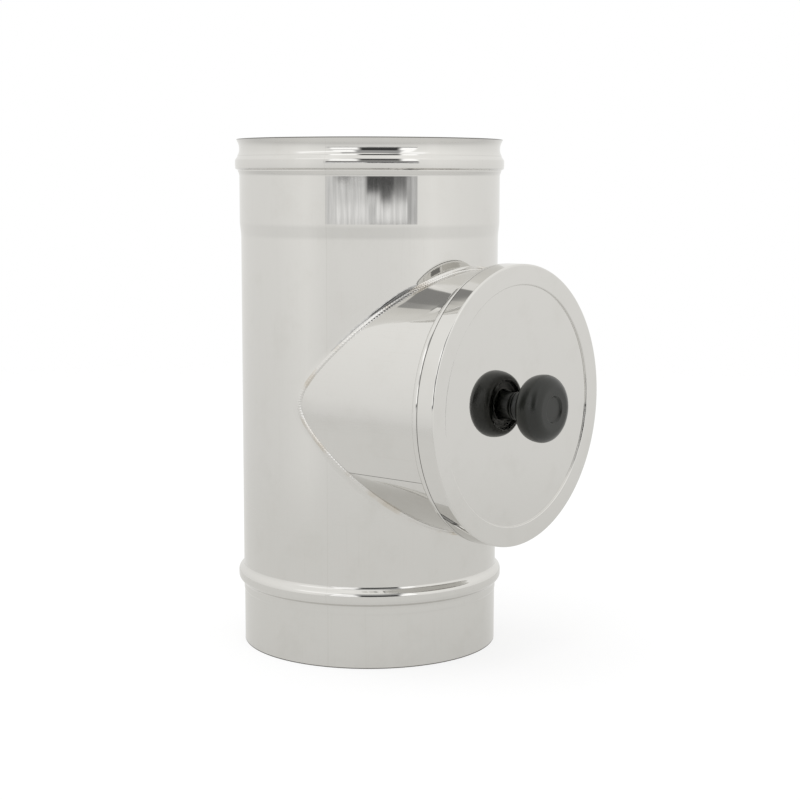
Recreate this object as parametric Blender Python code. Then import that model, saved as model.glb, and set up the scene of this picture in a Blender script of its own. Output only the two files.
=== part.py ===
"""Stove pipe tee in thin stainless sheet, with a push-in inspection cap.

The vertical tube stands on its spigot, and its socket is at the top. The side branch is a
little narrower and runs along +X. The cap plugs it and pulls off along +X by its knob.
All lengths are metres, +Z is up, and the origin is under the middle of the whole object.
"""

import math

import bmesh
import bpy
from mathutils import Vector

MM = 0.001

# Sheet, bore and clearances
BORE = 150.0 * MM
SHEET = 0.5 * MM
FIT_GAP = 0.3 * MM

# Vertical tube
TEE_HEIGHT = 297.0 * MM
SPIGOT_LENGTH = 31.0 * MM
SPIGOT_RELIEF = 0.3 * MM
SHOULDER_RUN = 0.5 * MM
STOP_BEAD_HEIGHT = 40.9 * MM
STOP_BEAD_FOOT = 10.4 * MM
STOP_BEAD_CREST = 5.2 * MM
STOP_BEAD_RISE = 3.05 * MM
STOP_BEAD_FOOT_FILLET = 2.8 * MM
STOP_BEAD_CREST_FILLET = 5.2 * MM
SOCKET_DEPTH = 52.0 * MM
SOCKET_SWELL = 0.75 * MM
SOCKET_STEP_RUN = 7.0 * MM

# Bead that holds the seal in the top socket
SOCKET_BEAD_DEPTH = 14.3 * MM
SOCKET_BEAD_CREST = 5.5 * MM
SOCKET_BEAD_LOWER_RUN = 1.9 * MM
SOCKET_BEAD_UPPER_RUN = 3.2 * MM
SOCKET_BEAD_RISE = 2.55 * MM
SOCKET_BEAD_FILLET = 1.3 * MM

# Flared lips
LIP_LENGTH = 3.6 * MM
LIP_FLARE = 1.65 * MM
LIP_FILLET = 3.0 * MM

# Side branch, measured along its axis from the vertical tube's axis
BRANCH_HEIGHT = 149.0 * MM
BRANCH_REACH = 108.9 * MM
BRANCH_INSET = 1.0 * MM
BRANCH_BEAD_DEPTH = 12.0 * MM
BRANCH_BEAD_FOOT = 6.8 * MM
BRANCH_BEAD_CREST = 2.8 * MM
BRANCH_BEAD_RISE = 4.3 * MM
BRANCH_BEAD_FOOT_FILLET = 1.2 * MM
BRANCH_BEAD_CREST_FILLET = 2.0 * MM
BRANCH_MOUTH_SWELL = 1.6 * MM

# Weld bead along the saddle
WELD_ON_TUBE = 2.2 * MM
WELD_ON_BRANCH = 1.2 * MM
WELD_RISE = 0.6 * MM

# Seals
SEAL_LIP = 1.2 * MM
SEAL_LIP_WIDTH = 1.6 * MM

# Inspection cap
LID_CLEARANCE = 0.75 * MM
LID_EDGE_FILLET = 1.2 * MM
SKIRT_CLEARANCE = 0.6 * MM
LAND_WIDTH = 11.5 * MM
RECESS_DEPTH = 1.0 * MM
RECESS_FILLET = 0.55 * MM
SLEEVE_CLEARANCE = 0.8 * MM
SLEEVE_LENGTH = 30.4 * MM
SLEEVE_LEAD = 1.0 * MM
SLEEVE_LEAD_LENGTH = 3.0 * MM
SLEEVE_FLANGE_CLEARANCE = 0.8 * MM
SLEEVE_FILLET = 0.9 * MM

# Knob, measured from the lid's recessed panel
KNOB_HEIGHT = 23.8 * MM
KNOB_RADIUS = 18.9 * MM
KNOB_WIDEST_AT = 16.7 * MM
KNOB_FACE_RADIUS = 11.5 * MM
KNOB_BACK_RADIUS = 14.9 * MM
KNOB_BACK_AT = 8.5 * MM
KNOB_RIM_WIDTH = 0.9 * MM
KNOB_CAVITY_FLOOR = 11.5 * MM
KNOB_CAVITY_DRAFT = 0.8 * MM
KNOB_DIMPLE_RADIUS = 7.7 * MM
KNOB_DIMPLE_DEPTH = 0.7 * MM
KNOB_DIMPLE_DRAFT = 0.3 * MM
HUB_FOOT_RADIUS = 8.0 * MM
HUB_FOOT_HEIGHT = 1.1 * MM
HUB_WAIST_RADIUS = 7.3 * MM
HUB_WAIST_AT = 2.6 * MM
HUB_ROOT_RADIUS = 8.3 * MM

# Threaded bush, screw and washers
THREAD_RADIUS = 3.0 * MM
BUSH_WALL = 1.2 * MM
BUSH_LENGTH = 11.0 * MM
BUSH_GROOVE_WIDTH = 2.0 * MM
BUSH_GROOVE_DEPTH = 0.4 * MM
SCREW_REACH = 9.0 * MM
SCREW_HEAD_RADIUS = 5.77 * MM
SCREW_HEAD_HEIGHT = 4.0 * MM
SCREW_HEAD_CHAMFER = 0.5 * MM
SCREW_POINT = 0.6 * MM
WASHER_RADIUS = 6.25 * MM
WASHER_THICKNESS = 1.2 * MM
SPRING_WASHER_RADIUS = 5.6 * MM
SPRING_WASHER_THICKNESS = 1.5 * MM
SPRING_WASHER_RISE = 0.4 * MM
SPRING_WASHER_SPLIT = math.radians(14.0)

# Fineness of the round forms
ROUND_STEPS = 44
KNOB_STEPS = 36
SMALL_STEPS = 24
ARC_STEP = math.radians(60.0)
SMOOTH_BELOW = math.radians(30.0)
MERGE = 0.001 * MM

# Sizes that follow from those above
TUBE_RADIUS = BORE / 2 + SHEET
SOCKET_RADIUS = TUBE_RADIUS + SOCKET_SWELL
BRANCH_RADIUS = TUBE_RADIUS - BRANCH_INSET
BRANCH_MOUTH_RADIUS = BRANCH_RADIUS + BRANCH_MOUTH_SWELL
SADDLE_NOSE = math.sqrt(TUBE_RADIUS**2 - BRANCH_RADIUS**2)
WELD_GAP = math.sqrt(2) * FIT_GAP
LID_RADIUS = BRANCH_MOUTH_RADIUS + LIP_FLARE + LID_CLEARANCE + SHEET
RECESS_RADIUS = LID_RADIUS - LAND_WIDTH
SLEEVE_RADIUS = BRANCH_RADIUS - SHEET - SLEEVE_CLEARANCE
SLEEVE_FLANGE_RADIUS = RECESS_RADIUS + SHEET + SLEEVE_FLANGE_CLEARANCE
SCREW_HOLE_RADIUS = THREAD_RADIUS + FIT_GAP
SCREW_RADIUS = THREAD_RADIUS - FIT_GAP
BUSH_RADIUS = THREAD_RADIUS + BUSH_WALL
LAND_BACK = FIT_GAP
LAND_FRONT = LAND_BACK + SHEET
PANEL_FRONT = LAND_FRONT - RECESS_DEPTH
PANEL_BACK = PANEL_FRONT - SHEET
SKIRT_END = BRANCH_BEAD_CREST / 2 - BRANCH_BEAD_DEPTH + SKIRT_CLEARANCE
KNOB_FOOT = PANEL_FRONT + FIT_GAP
WASHER_FRONT = PANEL_BACK - FIT_GAP
SPRING_WASHER_FRONT = WASHER_FRONT - WASHER_THICKNESS - FIT_GAP
SCREW_HEAD_FRONT = SPRING_WASHER_FRONT - SPRING_WASHER_THICKNESS - SPRING_WASHER_RISE - FIT_GAP
FRONT_REACH = BRANCH_REACH + PANEL_FRONT + KNOB_HEIGHT
BACK_REACH = max(SOCKET_RADIUS + SOCKET_BEAD_RISE, TUBE_RADIUS + STOP_BEAD_RISE)
PIPE_AXIS_X = (BACK_REACH - FRONT_REACH) / 2


def clear_scene():
    for item in list(bpy.data.objects):
        bpy.data.objects.remove(item, do_unlink=True)


def finish(name, colour, roughness, metallic):
    """A plain surface finish."""
    material = bpy.data.materials.new(name)
    material.use_nodes = True
    shader = material.node_tree.nodes["Principled BSDF"]
    shader.inputs["Base Color"].default_value = (*colour, 1.0)
    shader.inputs["Roughness"].default_value = roughness
    shader.inputs["Metallic"].default_value = metallic
    return material


def axis_frame(name, parent, location, turn=(0.0, 0.0, 0.0)):
    """An empty whose local Z is the axis that its pieces are turned about."""
    frame = bpy.data.objects.new(name, None)
    frame.parent = parent
    frame.location = location
    frame.rotation_euler = turn
    bpy.context.collection.objects.link(frame)
    return frame


def add_piece(name, shape, material, parent):
    """Makes a bmesh into a named, smooth-shaded object on its axis."""
    bmesh.ops.remove_doubles(shape, verts=shape.verts, dist=MERGE)
    bmesh.ops.recalc_face_normals(shape, faces=shape.faces)
    mesh = bpy.data.meshes.new(name)
    shape.to_mesh(mesh)
    shape.free()
    mesh.materials.append(material)
    mesh.shade_smooth()
    mesh.set_sharp_from_angle(angle=SMOOTH_BELOW)
    piece = bpy.data.objects.new(name, mesh)
    piece.parent = parent
    bpy.context.collection.objects.link(piece)
    return piece


def rounded(corners):
    """Rounds an outline of (radius, height, fillet) corners, and gives its points."""
    points = []
    for index, (radius, height, fillet) in enumerate(corners):
        corner = Vector((radius, height))
        inner = 0 < index < len(corners) - 1
        if not inner or fillet == 0:
            points.append(corner)
            continue
        back = (Vector(corners[index - 1][:2]) - corner).normalized()
        ahead = (Vector(corners[index + 1][:2]) - corner).normalized()
        turn = math.pi - back.angle(ahead)
        tangent = fillet * math.tan(turn / 2)
        centre = corner + (back + ahead).normalized() * fillet / math.cos(turn / 2)
        start = corner + back * tangent - centre
        end = corner + ahead * tangent - centre
        steps = max(1, math.ceil(turn / ARC_STEP))
        for step in range(steps + 1):
            share = step / steps
            arm = start * math.sin((1 - share) * turn) + end * math.sin(share * turn)
            points.append(centre + arm / math.sin(turn))
    return points


def arc(centre, radius, height, start, end, steps):
    """Points on a quarter ellipse about a centre, from one angle to another."""
    points = []
    for step in range(steps + 1):
        angle = start + (end - start) * step / steps
        points.append(centre + Vector((radius * math.cos(angle), height * math.sin(angle))))
    return points


def left_of(direction):
    return Vector((-direction.y, direction.x))


def offset(points, distance):
    """Shifts an open outline to its left, with each corner on its bisector."""
    shifted = []
    last = len(points) - 1
    for index, point in enumerate(points):
        before = (point - points[index - 1]).normalized() if index > 0 else None
        after = (points[index + 1] - point).normalized() if index < last else None
        if before is None or after is None:
            shifted.append(squared_end(point, before or after, distance))
            continue
        bisector = (left_of(before) + left_of(after)).normalized()
        shifted.append(point + bisector * distance / bisector.dot(left_of(after)))
    return shifted


def squared_end(point, direction, distance):
    """The shifted end of an outline, slid along it so that the sheet's edge is cut square."""
    moved = point + left_of(direction) * distance
    steep = abs(direction.y) > abs(direction.x)
    slide = (point.y - moved.y) / direction.y if steep else (point.x - moved.x) / direction.x
    return moved + direction * slide


def sheet_section(outline):
    """The closed section of a sheet whose outer face is the outline, with the wall on its left."""
    return outline + offset(outline, SHEET)[::-1]


def turned(name, section, closed, steps, material, parent):
    """Spins a section about the local Z. A section that isn't closed has both ends on the axis."""
    shape = bmesh.new()
    points = [shape.verts.new((point.x, 0.0, point.y)) for point in section]
    edges = [shape.edges.new(pair) for pair in zip(points, points[1:])]
    if closed:
        edges.append(shape.edges.new((points[-1], points[0])))
    bmesh.ops.spin(
        shape,
        geom=points + edges,
        cent=(0.0, 0.0, 0.0),
        axis=(0.0, 0.0, 1.0),
        dvec=(0.0, 0.0, 0.0),
        angle=2 * math.pi,
        steps=steps,
        use_merge=True,
        use_duplicate=False,
    )
    return add_piece(name, shape, material, parent)


def bead_corners(wall, middle, foot, crest, rise, foot_fillet, crest_fillet):
    """Corners of a rolled bead that stands out from a wall of the given radius."""
    return [
        (wall, middle - foot / 2, foot_fillet),
        (wall + rise, middle - crest / 2, crest_fillet),
        (wall + rise, middle + crest / 2, crest_fillet),
        (wall, middle + foot / 2, foot_fillet),
    ]


def socket_bead_corners():
    """The seal bead of the top socket, steep below and gentle above."""
    middle = TEE_HEIGHT - SOCKET_BEAD_DEPTH
    low = middle - SOCKET_BEAD_CREST / 2
    high = middle + SOCKET_BEAD_CREST / 2
    crest = SOCKET_RADIUS + SOCKET_BEAD_RISE
    return [
        (SOCKET_RADIUS, low - SOCKET_BEAD_LOWER_RUN, SOCKET_BEAD_FILLET),
        (crest, low, SOCKET_BEAD_FILLET),
        (crest, high, SOCKET_BEAD_FILLET),
        (SOCKET_RADIUS, high + SOCKET_BEAD_UPPER_RUN, SOCKET_BEAD_FILLET),
    ]


def branch_bead_corners():
    """The seal bead of the branch. The mouth in front of it is a little wider than the tube."""
    corners = bead_corners(
        BRANCH_RADIUS,
        BRANCH_REACH - BRANCH_BEAD_DEPTH,
        BRANCH_BEAD_FOOT,
        BRANCH_BEAD_CREST,
        BRANCH_BEAD_RISE,
        BRANCH_BEAD_FOOT_FILLET,
        BRANCH_BEAD_CREST_FILLET,
    )
    mouth_foot = corners.pop()
    corners.append((BRANCH_MOUTH_RADIUS, mouth_foot[1], mouth_foot[2]))
    return corners


def lip_corners(wall, rim):
    """The flared lip at the end of a socket."""
    return [
        (wall, rim - LIP_LENGTH, LIP_FILLET),
        (wall + LIP_FLARE, rim, 0),
    ]


def tube_corners():
    """Outer face of the vertical tube, from the spigot's end up to the socket's rim."""
    spigot = TUBE_RADIUS - SPIGOT_RELIEF
    step_at = TEE_HEIGHT - SOCKET_DEPTH
    return [
        (spigot, 0, 0),
        (spigot, SPIGOT_LENGTH, 0),
        (TUBE_RADIUS, SPIGOT_LENGTH + SHOULDER_RUN, 0),
        *bead_corners(
            TUBE_RADIUS,
            STOP_BEAD_HEIGHT,
            STOP_BEAD_FOOT,
            STOP_BEAD_CREST,
            STOP_BEAD_RISE,
            STOP_BEAD_FOOT_FILLET,
            STOP_BEAD_CREST_FILLET,
        ),
        (TUBE_RADIUS, step_at - SOCKET_STEP_RUN / 2, 0),
        (SOCKET_RADIUS, step_at + SOCKET_STEP_RUN / 2, 0),
        *socket_bead_corners(),
        *lip_corners(SOCKET_RADIUS, TEE_HEIGHT),
    ]


def saddle_reach(height):
    """Distance of the saddle from the vertical tube's axis, at a height off the branch's axis.

    Seen from the side, a tube meets a wider one in a hyperbola. Its nose is where the narrower
    tube's flank runs into the wider one's.
    """
    return math.hypot(SADDLE_NOSE, height)


def saddle_block(parent, room):
    """A block whose front follows the saddle from side to side, the given room behind it."""
    far = 2 * TUBE_RADIUS
    spokes = [2 * math.pi * step / ROUND_STEPS for step in range(ROUND_STEPS // 2 + 1)]
    heights = [far, *(BRANCH_RADIUS * math.cos(spoke) for spoke in spokes), -far]
    shape = bmesh.new()
    front = [shape.verts.new((saddle_reach(height) - room, -far, height)) for height in heights]
    grown = bmesh.ops.extrude_face_region(shape, geom=[shape.faces.new(front)])["geom"]
    moved = [item for item in grown if isinstance(item, bmesh.types.BMVert)]
    bmesh.ops.translate(shape, verts=moved, vec=(0.0, 2 * far, 0.0))
    bmesh.ops.recalc_face_normals(shape, faces=shape.faces)
    mesh = bpy.data.meshes.new("saddle_block")
    shape.to_mesh(mesh)
    shape.free()
    block = bpy.data.objects.new("saddle_block", mesh)
    block.parent = parent
    block.location = (0.0, 0.0, BRANCH_HEIGHT)
    block.hide_render = True
    block.display_type = "WIRE"
    bpy.context.collection.objects.link(block)
    return block


def make_body_pipe(material, pipe_axis):
    """The vertical tube, with the saddle hole cut out for the branch."""
    section = sheet_section(rounded(tube_corners()))
    pipe = turned("body_pipe", section, True, ROUND_STEPS, material, pipe_axis)
    hole = pipe.modifiers.new("saddle_hole", "BOOLEAN")
    hole.operation = "DIFFERENCE"
    hole.solver = "EXACT"
    hole.object = saddle_block(pipe_axis, WELD_ON_TUBE + WELD_GAP)
    return pipe


def fold_on_saddle(verts, room):
    """Pushes points of the branch's wall along it, until they stand the room before the saddle."""
    for vert in verts:
        vert.co.z = saddle_reach(vert.co.x) + room


def make_branch_pipe(material, branch_axis):
    """The branch tube: a turned sheet whose inner end is folded onto the saddle."""
    corners = [
        (BRANCH_RADIUS, 0, 0),
        *branch_bead_corners(),
        *lip_corners(BRANCH_MOUTH_RADIUS, BRANCH_REACH),
    ]
    section = sheet_section(rounded(corners))
    pipe = turned("branch_pipe", section, True, ROUND_STEPS, material, branch_axis)
    inner_end = [vert for vert in pipe.data.vertices if vert.co.z < MERGE]
    fold_on_saddle(inner_end, WELD_ON_BRANCH + WELD_GAP)
    return pipe


def lay_on_tube(verts, ring, wall, room):
    """Lays points of a ring round the branch on the vertical tube's wall, the room off the saddle.

    They move up or down at the crowns and round the tube at the noses, and a share of each
    in between.
    """
    for vert in verts:
        height = vert.co.x
        reach = saddle_reach(height)
        climb = abs(height) / ring
        move = room / (1 - climb + climb * abs(height) / reach)
        along = reach - move * (1 - climb)
        side = math.sqrt(max(0.0, wall**2 - along**2))
        vert.co = (height + math.copysign(move * climb, height), math.copysign(side, vert.co.y), along)


def make_junction_weld(material, branch_axis):
    """The weld bead, as six rings round the saddle that are joined into one closed band."""
    inner = BRANCH_RADIUS - SHEET
    rings = (
        (BRANCH_RADIUS + WELD_RISE, None, 0.0),
        (BRANCH_RADIUS, None, WELD_ON_BRANCH),
        (inner, None, WELD_ON_BRANCH),
        (inner, None, 0.0),
        (inner, TUBE_RADIUS - SHEET, WELD_ON_TUBE),
        (BRANCH_RADIUS, TUBE_RADIUS, WELD_ON_TUBE),
    )
    shape = bmesh.new()
    bmesh.ops.create_circle(shape, cap_ends=False, segments=ROUND_STEPS, radius=1.0)
    first = list(shape.edges)
    edges = first
    unit = {vert: vert.co.copy() for vert in shape.verts}
    for index, (radius, wall, room) in enumerate(rings):
        if index > 0:
            grown = bmesh.ops.extrude_edge_only(shape, edges=edges)["geom"]
            edges = [item for item in grown if isinstance(item, bmesh.types.BMEdge)
                     and all(vert in grown for vert in item.verts)]
            verts = {vert for edge in edges for vert in edge.verts}
            unit = {vert: nearest_spoke(vert, unit) for vert in verts}
        for vert, spoke in unit.items():
            vert.co = spoke * radius
        if wall is None:
            fold_on_saddle(unit, room)
        else:
            lay_on_tube(unit, radius, wall, room)
    bmesh.ops.bridge_loops(shape, edges=first + edges)
    return add_piece("junction_weld", shape, material, branch_axis)


def nearest_spoke(vert, unit):
    """The unit direction of the point that a new point was extruded from."""
    for edge in vert.link_edges:
        other = edge.other_vert(vert)
        if other in unit:
            return unit[other]
    raise ValueError("a point of the weld has no neighbour in the ring before it")


def make_seal(name, bead, lip_radius, material, parent):
    """A silicone ring that fills a bead from inside and ends in a lip."""
    run = bead[0][2] + bead[-1][2]
    groove = rounded([
        (bead[0][0], bead[0][1] - run, 0),
        *bead,
        (bead[-1][0], bead[-1][1] + run, 0),
    ])
    backed = offset(groove, SHEET + FIT_GAP)[1:-1]
    middle = (bead[1][1] + bead[2][1]) / 2
    lip = [
        Vector((lip_radius, middle + SEAL_LIP_WIDTH / 2)),
        Vector((lip_radius, middle - SEAL_LIP_WIDTH / 2)),
    ]
    return turned(name, backed + lip, True, ROUND_STEPS, material, parent)


def make_cap_lid(material, cap_axis):
    """The pressed lid: recessed panel, flat land, rounded edge and a skirt over the lip."""
    corners = [
        (SCREW_HOLE_RADIUS, PANEL_FRONT, 0),
        (RECESS_RADIUS, PANEL_FRONT, RECESS_FILLET - SHEET / 2),
        (RECESS_RADIUS, LAND_FRONT, RECESS_FILLET),
        (LID_RADIUS, LAND_FRONT, LID_EDGE_FILLET),
        (LID_RADIUS, SKIRT_END, 0),
    ]
    outline = rounded(corners)[::-1]
    return turned("cap_lid", sheet_section(outline), True, ROUND_STEPS, material, cap_axis)


def make_cap_sleeve(material, cap_axis):
    """The plug sleeve behind the lid, with a led-in end and a flange under the lid's land."""
    top = LAND_BACK - FIT_GAP
    end = top - SLEEVE_LENGTH
    corners = [
        (SLEEVE_RADIUS - SLEEVE_LEAD, end, 0),
        (SLEEVE_RADIUS, end + SLEEVE_LEAD_LENGTH, 0),
        (SLEEVE_RADIUS, top, SLEEVE_FILLET),
        (SLEEVE_FLANGE_RADIUS, top, 0),
    ]
    section = sheet_section(rounded(corners))
    return turned("cap_sleeve", section, True, ROUND_STEPS, material, cap_axis)


def make_knob(material, cap_axis):
    """The moulded mushroom knob, hollow behind its head and dimpled in front."""
    widest = PANEL_FRONT + KNOB_WIDEST_AT
    back = PANEL_FRONT + KNOB_BACK_AT
    front = PANEL_FRONT + KNOB_HEIGHT
    floor = PANEL_FRONT + KNOB_CAVITY_FLOOR
    bore_end = KNOB_FOOT + BUSH_LENGTH + FIT_GAP
    bore = BUSH_RADIUS + FIT_GAP
    cavity_mouth = KNOB_BACK_RADIUS - KNOB_RIM_WIDTH
    crown = arc(
        Vector((KNOB_FACE_RADIUS, widest)),
        KNOB_RADIUS - KNOB_FACE_RADIUS,
        front - widest,
        math.pi / 2,
        0.0,
        5,
    )
    flank = arc(
        Vector((KNOB_BACK_RADIUS, widest)),
        KNOB_RADIUS - KNOB_BACK_RADIUS,
        widest - back,
        0.0,
        -math.pi / 2,
        4,
    )
    dimple = KNOB_DIMPLE_RADIUS - KNOB_DIMPLE_DRAFT
    section = [
        Vector((0.0, front - KNOB_DIMPLE_DEPTH)),
        Vector((dimple, front - KNOB_DIMPLE_DEPTH)),
        Vector((KNOB_DIMPLE_RADIUS, front)),
        *crown,
        *flank[1:],
        Vector((cavity_mouth, back)),
        Vector((cavity_mouth - KNOB_CAVITY_DRAFT, floor)),
        Vector((HUB_ROOT_RADIUS, floor)),
        Vector((HUB_WAIST_RADIUS, PANEL_FRONT + HUB_WAIST_AT)),
        Vector((HUB_FOOT_RADIUS, PANEL_FRONT + HUB_FOOT_HEIGHT)),
        Vector((HUB_FOOT_RADIUS, KNOB_FOOT)),
        Vector((bore, KNOB_FOOT)),
        Vector((bore, bore_end)),
        Vector((0.0, bore_end)),
    ]
    return turned("knob", section, False, KNOB_STEPS, material, cap_axis)


def make_knob_bush(material, cap_axis):
    """The threaded bush in the knob's hub, with a groove that the plastic keys into."""
    foot = KNOB_FOOT
    groove_low = foot + (BUSH_LENGTH - BUSH_GROOVE_WIDTH) / 2
    groove_high = groove_low + BUSH_GROOVE_WIDTH
    groove_radius = BUSH_RADIUS - BUSH_GROOVE_DEPTH
    section = [
        Vector((THREAD_RADIUS, foot)),
        Vector((BUSH_RADIUS, foot)),
        Vector((BUSH_RADIUS, groove_low)),
        Vector((groove_radius, groove_low)),
        Vector((groove_radius, groove_high)),
        Vector((BUSH_RADIUS, groove_high)),
        Vector((BUSH_RADIUS, foot + BUSH_LENGTH)),
        Vector((THREAD_RADIUS, foot + BUSH_LENGTH)),
    ]
    return turned("knob_bush", section, True, SMALL_STEPS, material, cap_axis)


def make_knob_screw(material, cap_axis):
    """A hexagon-headed screw: six-sided head, then a round shank pulled out of its front."""
    middle = SCREW_HEAD_FRONT - SCREW_HEAD_HEIGHT / 2
    tip = KNOB_FOOT + SCREW_REACH
    section = [
        Vector((0.0, tip)),
        Vector((SCREW_RADIUS - SCREW_POINT, tip)),
        Vector((SCREW_RADIUS, tip - SCREW_POINT)),
        Vector((SCREW_RADIUS, middle)),
        Vector((0.0, middle)),
    ]
    screw = turned("knob_screw", section, False, SMALL_STEPS, material, cap_axis)
    shape = bmesh.new()
    bmesh.ops.create_cone(
        shape,
        cap_ends=True,
        segments=6,
        radius1=SCREW_HEAD_RADIUS,
        radius2=SCREW_HEAD_RADIUS,
        depth=SCREW_HEAD_HEIGHT,
    )
    bmesh.ops.translate(shape, verts=shape.verts, vec=(0.0, 0.0, middle))
    back_edges = [edge for edge in shape.edges if all(vert.co.z < middle for vert in edge.verts)]
    bmesh.ops.bevel(
        shape,
        geom=back_edges,
        offset=SCREW_HEAD_CHAMFER,
        segments=1,
        profile=0.5,
        affect="EDGES",
        material=-1,
    )
    head = add_piece("screw_head_form", shape, material, cap_axis)
    head.hide_render = True
    head.display_type = "WIRE"
    join = screw.modifiers.new("head", "BOOLEAN")
    join.operation = "UNION"
    join.solver = "EXACT"
    join.object = head
    return screw


def make_washer(material, cap_axis):
    """The flat washer against the lid's back."""
    section = [
        Vector((SCREW_HOLE_RADIUS, WASHER_FRONT - WASHER_THICKNESS)),
        Vector((WASHER_RADIUS, WASHER_FRONT - WASHER_THICKNESS)),
        Vector((WASHER_RADIUS, WASHER_FRONT)),
        Vector((SCREW_HOLE_RADIUS, WASHER_FRONT)),
    ]
    return turned("knob_washer", section, True, SMALL_STEPS, material, cap_axis)


def make_spring_washer(material, cap_axis):
    """A split ring whose ends stand apart along the screw."""
    front = SPRING_WASHER_FRONT
    back = front - SPRING_WASHER_THICKNESS
    shape = bmesh.new()
    corners = (
        (SCREW_HOLE_RADIUS, 0.0, back),
        (SPRING_WASHER_RADIUS, 0.0, back),
        (SPRING_WASHER_RADIUS, 0.0, front),
        (SCREW_HOLE_RADIUS, 0.0, front),
    )
    end_face = shape.faces.new([shape.verts.new(corner) for corner in corners])
    bmesh.ops.spin(
        shape,
        geom=[end_face, *end_face.edges, *end_face.verts],
        cent=(0.0, 0.0, 0.0),
        axis=(0.0, 0.0, 1.0),
        dvec=(0.0, 0.0, -SPRING_WASHER_RISE / SMALL_STEPS),
        angle=2 * math.pi - SPRING_WASHER_SPLIT,
        steps=SMALL_STEPS,
        use_merge=False,
        use_duplicate=False,
    )
    return add_piece("knob_spring_washer", shape, material, cap_axis)


def build():
    clear_scene()
    steel = finish("polished_stainless", (0.80, 0.79, 0.77), 0.08, 1.0)
    weld_steel = finish("weld_stainless", (0.72, 0.71, 0.69), 0.25, 1.0)
    silicone = finish("seal_silicone", (0.09, 0.09, 0.09), 0.7, 0.0)
    plastic = finish("knob_plastic", (0.035, 0.037, 0.033), 0.35, 0.0)
    brass = finish("bush_brass", (0.75, 0.56, 0.27), 0.35, 1.0)
    zinc = finish("plated_fastener", (0.70, 0.71, 0.72), 0.3, 1.0)

    pipe_axis = axis_frame("pipe_axis", None, (PIPE_AXIS_X, 0.0, 0.0))
    sideways = (0.0, math.radians(90.0), 0.0)
    branch_axis = axis_frame("branch_axis", pipe_axis, (0.0, 0.0, BRANCH_HEIGHT), sideways)
    cap_axis = axis_frame("cap_axis", branch_axis, (0.0, 0.0, BRANCH_REACH))

    make_body_pipe(steel, pipe_axis)
    make_branch_pipe(steel, branch_axis)
    make_junction_weld(weld_steel, branch_axis)
    socket_lip = SOCKET_RADIUS - SHEET - SEAL_LIP
    make_seal("socket_seal", socket_bead_corners(), socket_lip, silicone, pipe_axis)
    sleeve_lip = SLEEVE_RADIUS + FIT_GAP
    make_seal("branch_seal", branch_bead_corners(), sleeve_lip, silicone, branch_axis)

    make_cap_lid(steel, cap_axis)
    make_cap_sleeve(steel, cap_axis)
    make_knob(plastic, cap_axis)
    make_knob_bush(brass, cap_axis)
    make_knob_screw(zinc, cap_axis)
    make_washer(zinc, cap_axis)
    make_spring_washer(zinc, cap_axis)


build()
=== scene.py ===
# %% [markdown]
# # A stove pipe tee in polished stainless sheet
# The tee is thin mirror-polished sheet: an upright tube, a side branch welded to it in a saddle,
# and a pressed cap that plugs the branch and is pulled off by a black knob. This lesson dresses
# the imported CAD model: it keeps the frame's places and sizes, and gives each piece a finer
# surface and a procedural finish. Everything is in metres, with +Z up and +X along the branch.

# %% Load the frame
import math

import bmesh
import bpy
from mathutils import Matrix, Vector


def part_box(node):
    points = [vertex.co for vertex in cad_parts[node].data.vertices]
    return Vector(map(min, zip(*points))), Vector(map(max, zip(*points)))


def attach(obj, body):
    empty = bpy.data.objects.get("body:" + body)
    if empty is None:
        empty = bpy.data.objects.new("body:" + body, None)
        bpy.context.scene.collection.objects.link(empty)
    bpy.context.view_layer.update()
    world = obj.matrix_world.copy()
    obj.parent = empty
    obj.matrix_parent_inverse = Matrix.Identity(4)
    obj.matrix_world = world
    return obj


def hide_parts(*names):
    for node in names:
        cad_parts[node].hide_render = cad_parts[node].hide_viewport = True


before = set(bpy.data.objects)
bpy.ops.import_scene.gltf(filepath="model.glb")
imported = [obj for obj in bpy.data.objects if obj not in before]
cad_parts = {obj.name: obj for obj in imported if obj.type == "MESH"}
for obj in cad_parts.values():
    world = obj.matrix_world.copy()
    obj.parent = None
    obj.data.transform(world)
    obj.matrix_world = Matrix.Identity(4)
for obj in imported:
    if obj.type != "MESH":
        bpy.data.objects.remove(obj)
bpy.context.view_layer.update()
MM = 0.001

# %% [markdown]
# ## Places taken from the frame
# The axes and ends of the pipes could be typed in again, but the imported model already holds
# them. Reading them from the boxes of its nodes keeps every new piece on the CAD's place, even
# when a size changes there.

# %% Axes and reaches
tube_low, tube_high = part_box("body_pipe")
branch_low, branch_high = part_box("branch_pipe")
lid_low, lid_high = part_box("cap_lid")
knob_low, knob_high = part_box("knob")

PIPE_AXIS = (tube_low.x + tube_high.x) / 2
TEE_HEIGHT = tube_high.z
BRANCH_HEIGHT = (branch_low.z + branch_high.z) / 2
BRANCH_REACH = branch_high.x - PIPE_AXIS
LID_RADIUS = (lid_high.y - lid_low.y) / 2
LAND_FRONT = lid_high.x - branch_high.x
KNOB_RADIUS = (knob_high.y - knob_low.y) / 2
KNOB_FRONT = knob_high.x - branch_high.x

SHEET = 0.5 * MM
BORE_RADIUS = 75.0 * MM
TUBE_RADIUS = BORE_RADIUS + SHEET
BRANCH_INSET = 1.0 * MM
BRANCH_RADIUS = TUBE_RADIUS - BRANCH_INSET
SADDLE_NOSE = math.sqrt(TUBE_RADIUS**2 - BRANCH_RADIUS**2)

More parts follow.
